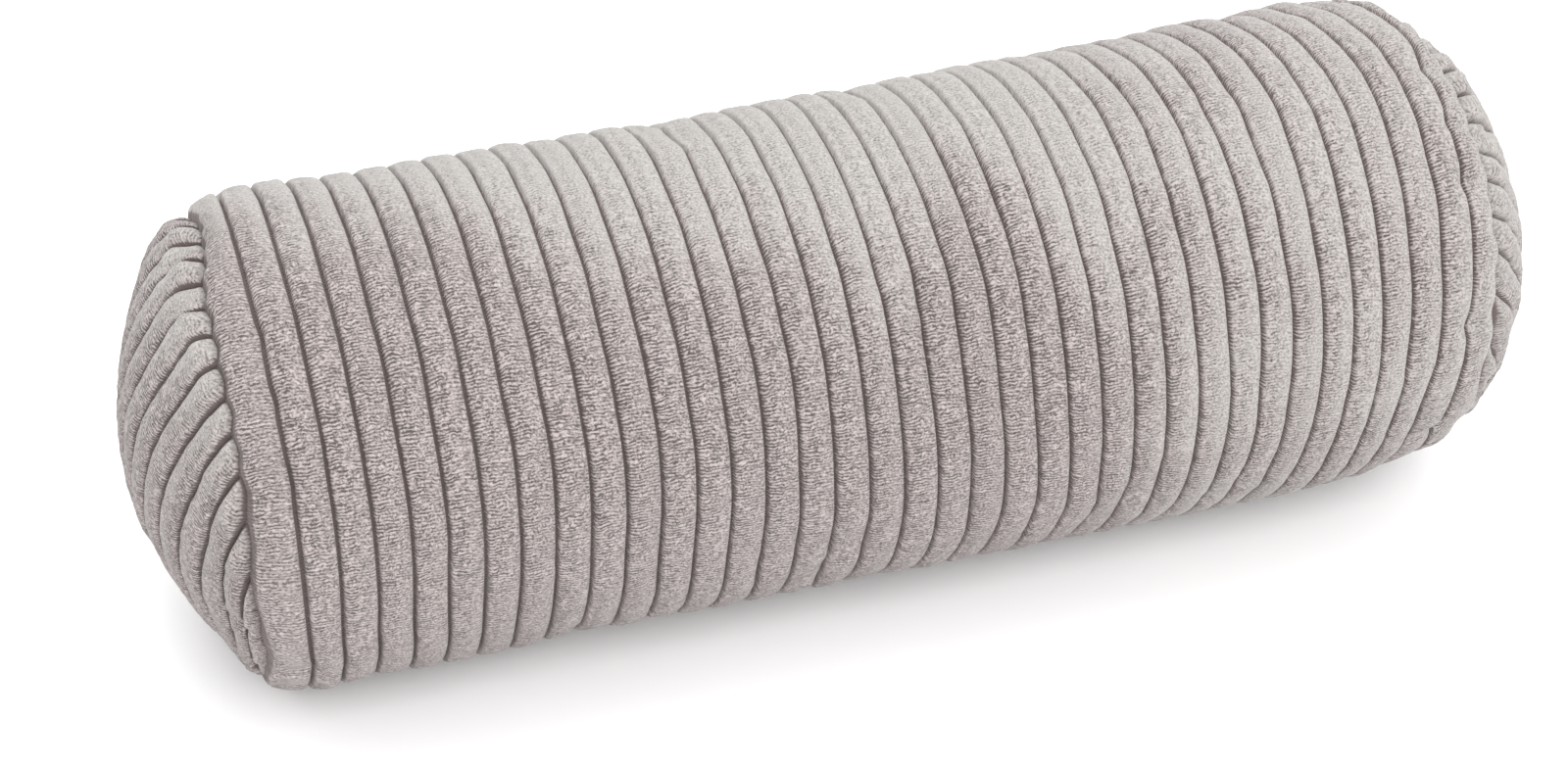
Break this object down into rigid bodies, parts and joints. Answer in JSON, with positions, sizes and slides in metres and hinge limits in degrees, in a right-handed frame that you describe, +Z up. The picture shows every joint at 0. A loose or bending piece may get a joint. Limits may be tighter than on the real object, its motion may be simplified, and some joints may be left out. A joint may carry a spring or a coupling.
{
  "type": "neck roll pillow",
  "caption": "Round filled bolster pillow in wide-ribbed plush: ribs ring the roll from seam to seam, and a domed panel with straight ribs closes each end.",
  "frame": {"origin": "on the surface the pillow rests on, under the middle of the roll", "axes": "+X along the roll towards the right-hand end, +Z up, -Y towards the front that the picture shows"},
  "size_m": [0.4466, 0.15, 0.1481],
  "materials": {
    "plush_roll": "warm grey ribbed plush, soft short pile, matt with a faint sheen",
    "plush_end": "the same warm grey ribbed plush, its ribs straight across the panel"
  },
  "bodies": {
    "root": {"ribbed_roll": "plush_roll", "end_panel_left": "plush_end", "end_panel_right": "plush_end"}
  },
  "joints": []
}
